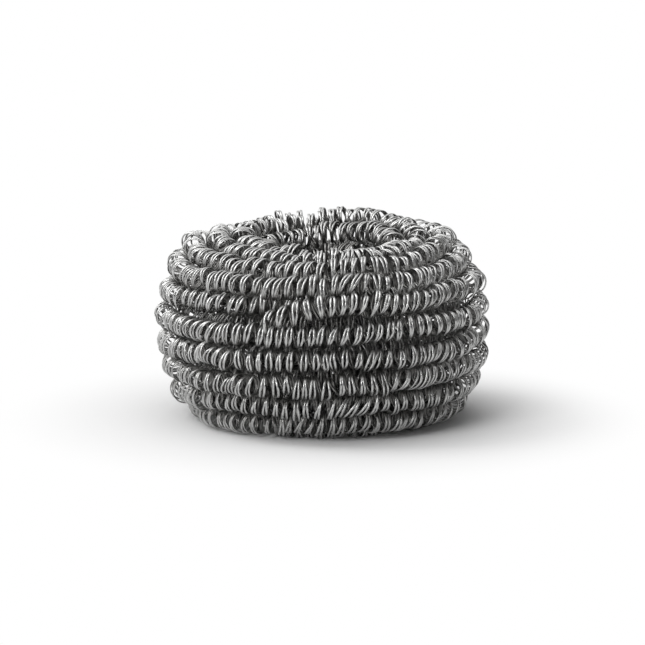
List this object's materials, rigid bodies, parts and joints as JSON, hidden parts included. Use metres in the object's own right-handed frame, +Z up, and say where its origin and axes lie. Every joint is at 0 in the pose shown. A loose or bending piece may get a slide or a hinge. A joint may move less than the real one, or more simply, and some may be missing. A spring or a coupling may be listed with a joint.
{
  "type": "stainless steel scourer",
  "caption": "Round kitchen scourer wound in layers from one long springy coil of fine stainless wire, with a hole through its middle.",
  "frame": {"origin": "on the surface that the scourer lies on, under the middle of its outline", "axes": "+Z up along the hole; -Y towards the side that shows the end of the strand; +X to the right as seen from there"},
  "size_m": [0.0842, 0.086, 0.0497],
  "materials": {
    "coiled_wire": "bright rolled stainless steel wire with a soft shine"
  },
  "bodies": {
    "root": {"wound_wire_strand": "coiled_wire"}
  },
  "joints": []
}
